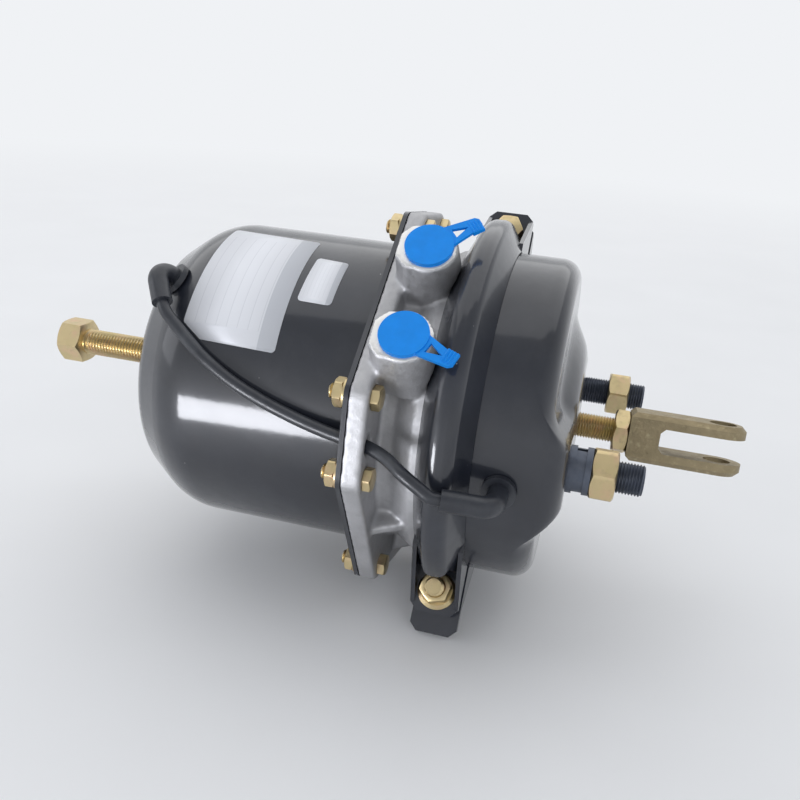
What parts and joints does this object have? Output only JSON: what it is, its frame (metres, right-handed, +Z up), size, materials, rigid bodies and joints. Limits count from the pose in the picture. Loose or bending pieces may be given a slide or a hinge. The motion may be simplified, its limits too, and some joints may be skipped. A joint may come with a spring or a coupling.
{
  "type": "combination air brake chamber",
  "caption": "Combination air brake chamber: diaphragm service chamber with clevis push rod and mounting studs, spring chamber behind with release bolt, capped ports, breather tube.",
  "frame": {"origin": "middle of the mounting face, on the push rod's axis", "axes": "+X out of the mounting face towards the clevis, the two mounting studs along Y, +Z up as pictured"},
  "size_m": [0.4116, 0.2228, 0.2243],
  "materials": {
    "black_paint": "gloss black paint over pressed steel",
    "cast_aluminium": "as cast, lightly blasted",
    "yellow_zinc": "yellow passivated zinc",
    "black_steel": "black phosphate",
    "spring_steel": "oil hardened wire",
    "plunger_steel": "ground steel",
    "black_rubber": "moulded rubber",
    "bearing_plastic": "natural bearing plastic",
    "blue_plastic": "bright blue soft plastic"
  },
  "bodies": {
    "chamber": {"front_housing": "black_paint", "middle_body": "cast_aluminium", "flange_seal": "black_rubber", "spring_housing": "black_paint", "clamp_half_upper": "black_paint", "clamp_half_lower": "black_paint", "clamp_bolts": "yellow_zinc", "clamp_nuts": "yellow_zinc", "flange_bolts": "yellow_zinc", "flange_washers": "yellow_zinc", "flange_nuts": "yellow_zinc", "mounting_studs": "black_steel", "stud_nuts": "yellow_zinc", "stud_washers": "black_steel", "stud_lock_washer": "black_steel", "rod_guide": "bearing_plastic", "diaphragm": "black_rubber", "return_spring": "spring_steel", "power_spring": "spring_steel", "spring_seat": "black_steel", "plunger_bush": "bearing_plastic", "plunger_seals": "black_rubber", "release_bush": "black_steel", "front_elbow": "black_rubber", "rear_elbow": "black_rubber", "front_vent_nipple": "yellow_zinc", "rear_vent_nipple": "yellow_zinc", "breather_tube": "black_rubber"},
    "rod": {"pressure_plate": "black_steel", "push_rod": "yellow_zinc", "jam_nut": "yellow_zinc", "clevis": "yellow_zinc"},
    "piston": {"spring_piston": "cast_aluminium", "piston_seal": "black_rubber", "piston_guide_ring": "bearing_plastic", "plunger_tube": "plunger_steel", "plunger_cap": "plunger_steel"},
    "thrust_ring": {"thrust_washer": "black_steel"},
    "bolt": {"release_bolt": "yellow_zinc", "release_end_nut": "yellow_zinc"},
    "upper_cap": {"upper_port_cap": "blue_plastic"},
    "lower_cap": {"lower_port_cap": "blue_plastic"}
  },
  "joints": [
    {"name": "push_rod_slide", "type": "slide", "parent": "chamber", "child": "rod", "axis": [1, 0, 0], "range_m": [0, 0.057], "stiffness_N_per_m": 2000, "springref_m": -0.04, "deforming": ["diaphragm", "return_spring"]},
    {"name": "release_bolt_travel", "type": "slide", "parent": "chamber", "child": "thrust_ring", "axis": [1, 0, 0], "range_m": [0, 0.055]},
    {"name": "release_bolt_turn", "type": "hinge", "parent": "thrust_ring", "child": "bolt", "pos_m": [-0.2, 0, 0], "axis": [1, 0, 0], "range_deg": [0, 9905]},
    {"name": "spring_piston_slide", "type": "slide", "parent": "chamber", "child": "piston", "axis": [1, 0, 0], "range_m": [-0.004, 0], "stiffness_N_per_m": 2000, "springref_m": 0.05, "deforming": ["power_spring"]},
    {"name": "upper_cap_pull", "type": "slide", "parent": "chamber", "child": "upper_cap", "axis": [0, -0.6626, 0.749], "range_m": [0, 0.014]},
    {"name": "lower_cap_pull", "type": "slide", "parent": "chamber", "child": "lower_cap", "axis": [0, -0.6626, 0.749], "range_m": [0, 0.014]}
  ],
  "couplings": [
    {"joint": "release_bolt_turn", "follows": "release_bolt_travel", "rad_per_m": 3141.6}
  ]
}
